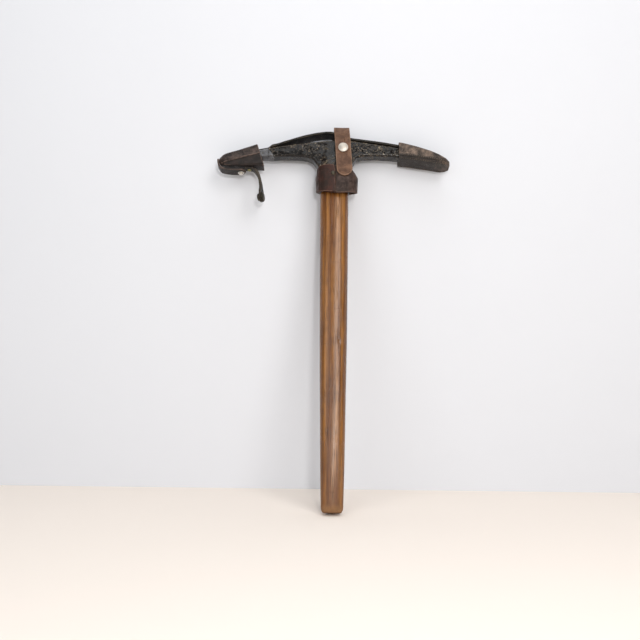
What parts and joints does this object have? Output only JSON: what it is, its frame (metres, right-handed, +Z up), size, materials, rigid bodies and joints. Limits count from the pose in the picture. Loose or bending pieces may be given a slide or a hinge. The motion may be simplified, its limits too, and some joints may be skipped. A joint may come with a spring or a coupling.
{
  "type": "ice axe with leather covers",
  "caption": "Short ice axe: oval wooden shaft, forged pick and adze head, leather sheaths on both blades, shaft collar and a snap-closed strap.",
  "frame": {"origin": "centre of the flat on the shaft's foot", "axes": "+Z up the shaft towards the head, +X towards the adze, -X towards the pick, -Y towards the side with the closing snap"},
  "size_m": [0.3259, 0.0579, 0.533],
  "materials": {
    "ash_wood": "oiled ash, worn, with dark grain streaks",
    "black_steel": "forged steel, black paint worn through to pitted bare metal",
    "plain_steel": "dull bare steel",
    "collar_leather": "stiff old leather, reddish brown, scuffed",
    "strap_leather": "brown leather, dry, matt",
    "dark_leather": "dark brown leather, nearly black",
    "sheath_leather": "dark brown moulded leather, rubbed lighter on the edges",
    "nickel": "bright nickel plate, slightly dulled",
    "brass_rivet": "aged brass with a green tinge"
  },
  "bodies": {
    "axe": {"head": "black_steel", "socket_rivet_lower": "plain_steel", "socket_rivet_upper": "plain_steel", "collar": "collar_leather", "collar_rivet": "brass_rivet", "strap_back_rivet": "brass_rivet", "stud_tab": "dark_leather", "closing_strap_back": "strap_leather", "tab_snap_stud": "nickel", "tab_snap_post": "nickel", "connecting_strap": "dark_leather", "adze_sheath_upper": "sheath_leather", "adze_sheath_sole": "sheath_leather", "shaft": "ash_wood"},
    "closing_flap": {"closing_strap_flap": "strap_leather", "flap_snap_cap": "nickel", "flap_snap_socket": "nickel"},
    "pick_cover": {"pick_sheath": "sheath_leather", "pick_strap_root": "dark_leather", "pick_strap_rivet": "brass_rivet"},
    "sheath_tongue": {"pick_sheath_tongue": "sheath_leather", "tongue_snap_stud": "nickel", "tongue_snap_post": "nickel"},
    "snap_strap": {"pick_strap": "dark_leather", "pick_strap_snap_cap": "brass_rivet", "pick_strap_snap_socket": "brass_rivet"}
  },
  "joints": [
    {"name": "flap_lift", "type": "hinge", "parent": "axe", "child": "closing_flap", "pos_m": [0, -0.0121, 0.5324], "axis": [-1, 0, 0], "range_deg": [0, 140]},
    {"name": "sheath_draw", "type": "slide", "parent": "axe", "child": "pick_cover", "axis": [-0.9684, 0, -0.2496], "range_m": [0, 0.065]},
    {"name": "tongue_open", "type": "hinge", "parent": "pick_cover", "child": "sheath_tongue", "pos_m": [-0.1637, 0, 0.4863], "axis": [0, 1, 0], "range_deg": [0, 40]},
    {"name": "strap_swing", "type": "hinge", "parent": "pick_cover", "child": "snap_strap", "pos_m": [-0.1135, 0, 0.4708], "axis": [0, 1, 0], "range_deg": [-12, 50]}
  ]
}
